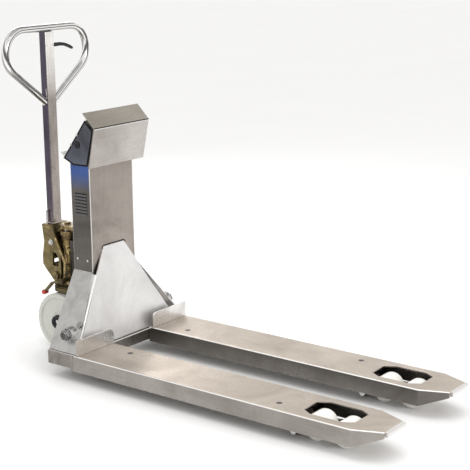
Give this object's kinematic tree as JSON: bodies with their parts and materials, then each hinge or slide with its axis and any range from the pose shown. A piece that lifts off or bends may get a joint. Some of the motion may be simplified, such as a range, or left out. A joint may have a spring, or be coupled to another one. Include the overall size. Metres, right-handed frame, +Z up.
{
  "type": "pallet jack",
  "caption": "Stainless hand pallet jack with weighing forks: brushed forks, column with tilted indicator, tall looped tiller, hydraulic pump and nylon wheels.",
  "frame": {"origin": "on the floor under the middle of the overall length and width, forks lowered", "axes": "+X along the forks to their tips, +Y to the left seen from the tiller, +Z up"},
  "size_m": [1.5164, 0.55, 1.115],
  "materials": {
    "brushed_stainless": "brushed stainless sheet",
    "inner_stainless": "plain stainless plate and bar",
    "dark_cheek": "dark satin side cover",
    "bright_fasteners": "machined stainless",
    "yellow_zinc": "yellow passivated zinc plating",
    "tank_steel": "satin steel",
    "chrome_bar": "polished",
    "white_nylon": "turned nylon",
    "black_plastic": "moulded black",
    "dark_label": "printed plate with plain bands",
    "display_glass": "tinted window",
    "red_plastic": "dipped red"
  },
  "bodies": {
    "chassis": {"right_fork_shell": "brushed_stainless", "left_fork_shell": "brushed_stainless", "fork_nose_bars": "brushed_stainless", "deck_screws": "bright_fasteners", "load_cells": "inner_stainless", "right_inner_fork": "inner_stainless", "left_inner_fork": "inner_stainless", "arm_pivot_pins": "bright_fasteners", "load_stops": "brushed_stainless", "crossbeam": "brushed_stainless", "right_side_plate": "brushed_stainless", "left_side_plate": "brushed_stainless", "frame_front_plate": "brushed_stainless", "column": "brushed_stainless", "ram_bracket": "yellow_zinc", "ram": "chrome_bar", "data_plate": "dark_label", "trunnion_shaft": "bright_fasteners", "side_fasteners": "bright_fasteners", "indicator_hood": "brushed_stainless", "indicator_case": "brushed_stainless", "cheek_plates": "dark_cheek", "side_socket": "black_plastic", "cover_screws": "bright_fasteners", "display_panel": "brushed_stainless", "display_window": "display_glass"},
    "power_key": {"power_key": "black_plastic"},
    "zero_key": {"zero_key": "black_plastic"},
    "tare_key": {"tare_key": "black_plastic"},
    "bell_crank": {"bell_crank": "inner_stainless"},
    "right_push_rod": {"right_push_rod": "inner_stainless"},
    "left_push_rod": {"left_push_rod": "inner_stainless"},
    "right_roller_arm": {"right_roller_arm": "inner_stainless"},
    "left_roller_arm": {"left_roller_arm": "inner_stainless"},
    "right_bogie": {"right_bogie": "inner_stainless"},
    "left_bogie": {"left_bogie": "inner_stainless"},
    "right_rear_roller": {"right_rear_roller": "white_nylon"},
    "right_front_roller": {"right_front_roller": "white_nylon"},
    "left_rear_roller": {"left_rear_roller": "white_nylon"},
    "left_front_roller": {"left_front_roller": "white_nylon"},
    "thrust_ring": {"thrust_ring": "yellow_zinc"},
    "pump_unit": {"wheel_carrier": "yellow_zinc", "steer_axle": "bright_fasteners", "pump_body": "yellow_zinc", "pump_cylinder": "yellow_zinc", "oil_reservoir": "tank_steel", "plunger_spring": "chrome_bar"},
    "right_wheel": {"right_steer_wheel": "white_nylon", "right_wheel_hub": "black_plastic"},
    "left_wheel": {"left_steer_wheel": "white_nylon", "left_wheel_hub": "black_plastic"},
    "plunger": {"pump_plunger": "chrome_bar"},
    "tiller": {"tiller_yoke": "yellow_zinc", "pump_cam": "yellow_zinc", "tiller_tube": "tank_steel", "handle_loop": "chrome_bar", "release_chain": "chrome_bar"},
    "control_lever": {"control_lever": "black_plastic"},
    "release_pedal": {"release_pedal": "yellow_zinc", "pedal_cap": "red_plastic"}
  },
  "joints": [
    {"name": "lift", "type": "slide", "parent": "chassis", "child": "thrust_ring", "axis": [0, 0, -1], "range_m": [0, 0.105]},
    {"name": "steering", "type": "hinge", "parent": "thrust_ring", "child": "pump_unit", "pos_m": [-0.65825, 0, 0.2177], "axis": [0, 0, 1], "range_deg": [-90, 90]},
    {"name": "right_wheel_spin", "type": "hinge", "parent": "pump_unit", "child": "right_wheel", "pos_m": [-0.65825, -0.04, 0.1], "axis": [0, 1, 0], "continuous": true},
    {"name": "left_wheel_spin", "type": "hinge", "parent": "pump_unit", "child": "left_wheel", "pos_m": [-0.65825, 0.04, 0.1], "axis": [0, 1, 0], "continuous": true},
    {"name": "tiller_tilt", "type": "hinge", "parent": "pump_unit", "child": "tiller", "pos_m": [-0.68225, 0, 0.258], "axis": [0, -1, 0], "range_deg": [0, 75], "stiffness_Nm_per_rad": 14, "springref_deg": -60.16},
    {"name": "plunger_stroke", "type": "slide", "parent": "pump_unit", "child": "plunger", "axis": [0, 0, -1], "range_m": [0, 0.01098], "deforming": ["plunger_spring"]},
    {"name": "control_lever", "type": "hinge", "parent": "tiller", "child": "control_lever", "pos_m": [-0.72125, 0.0126, 1.0465], "axis": [1, 0, 0], "range_deg": [-8, 14], "stiffness_Nm_per_rad": 6},
    {"name": "release_pedal", "type": "hinge", "parent": "pump_unit", "child": "release_pedal", "pos_m": [-0.63625, -0.058, 0.248], "axis": [0, -1, 0], "range_deg": [-1.25, 2.15]},
    {"name": "crank_turn", "type": "hinge", "parent": "chassis", "child": "bell_crank", "pos_m": [-0.43425, 0, 0.146], "axis": [0, -1, 0], "range_deg": [0, 39.88]},
    {"name": "right_rod_slide", "type": "slide", "parent": "chassis", "child": "right_push_rod", "axis": [1, 0, 0], "range_m": [0, 0.05222]},
    {"name": "right_arm_turn", "type": "hinge", "parent": "chassis", "child": "right_roller_arm", "pos_m": [0.44975, -0.1875, 0.022], "axis": [0, 1, 0], "range_deg": [0, 60.65]},
    {"name": "right_bogie_turn", "type": "hinge", "parent": "right_roller_arm", "child": "right_bogie", "pos_m": [0.55975, -0.1875, 0.04], "axis": [0, -1, 0], "range_deg": [0, 60.65]},
    {"name": "right_rear_roller_spin", "type": "hinge", "parent": "right_bogie", "child": "right_rear_roller", "pos_m": [0.51175, -0.1875, 0.04], "axis": [0, 1, 0], "continuous": true},
    {"name": "right_front_roller_spin", "type": "hinge", "parent": "right_bogie", "child": "right_front_roller", "pos_m": [0.60775, -0.1875, 0.04], "axis": [0, 1, 0], "continuous": true},
    {"name": "left_rod_slide", "type": "slide", "parent": "chassis", "child": "left_push_rod", "axis": [1, 0, 0], "range_m": [0, 0.05222]},
    {"name": "left_arm_turn", "type": "hinge", "parent": "chassis", "child": "left_roller_arm", "pos_m": [0.44975, 0.1875, 0.022], "axis": [0, 1, 0], "range_deg": [0, 60.65]},
    {"name": "left_bogie_turn", "type": "hinge", "parent": "left_roller_arm", "child": "left_bogie", "pos_m": [0.55975, 0.1875, 0.04], "axis": [0, -1, 0], "range_deg": [0, 60.65]},
    {"name": "left_rear_roller_spin", "type": "hinge", "parent": "left_bogie", "child": "left_rear_roller", "pos_m": [0.51175, 0.1875, 0.04], "axis": [0, 1, 0], "continuous": true},
    {"name": "left_front_roller_spin", "type": "hinge", "parent": "left_bogie", "child": "left_front_roller", "pos_m": [0.60775, 0.1875, 0.04], "axis": [0, 1, 0], "continuous": true},
    {"name": "power_key_press", "type": "slide", "parent": "chassis", "child": "power_key", "axis": [0.7956, 0, -0.6059], "range_m": [0, 0.0015], "stiffness_N_per_m": 400, "springref_m": -0.001},
    {"name": "zero_key_press", "type": "slide", "parent": "chassis", "child": "zero_key", "axis": [0.7956, 0, -0.6059], "range_m": [0, 0.0015], "stiffness_N_per_m": 400, "springref_m": -0.001},
    {"name": "tare_key_press", "type": "slide", "parent": "chassis", "child": "tare_key", "axis": [0.7956, 0, -0.6059], "range_m": [0, 0.0015], "stiffness_N_per_m": 400, "springref_m": -0.001}
  ],
  "couplings": [
    {"joint": "plunger_stroke", "follows": "tiller_tilt", "m_per_rad": 0.0083711},
    {"joint": "release_pedal", "follows": "control_lever", "ratio": 0.15},
    {"joint": "crank_turn", "follows": "lift", "rad_per_m": 6.6209},
    {"joint": "right_rod_slide", "follows": "lift", "ratio": 0.49688},
    {"joint": "right_arm_turn", "follows": "lift", "rad_per_m": 10.073},
    {"joint": "right_bogie_turn", "follows": "lift", "rad_per_m": 10.073},
    {"joint": "left_rod_slide", "follows": "lift", "ratio": 0.49688},
    {"joint": "left_arm_turn", "follows": "lift", "rad_per_m": 10.073},
    {"joint": "left_bogie_turn", "follows": "lift", "rad_per_m": 10.073}
  ]
}
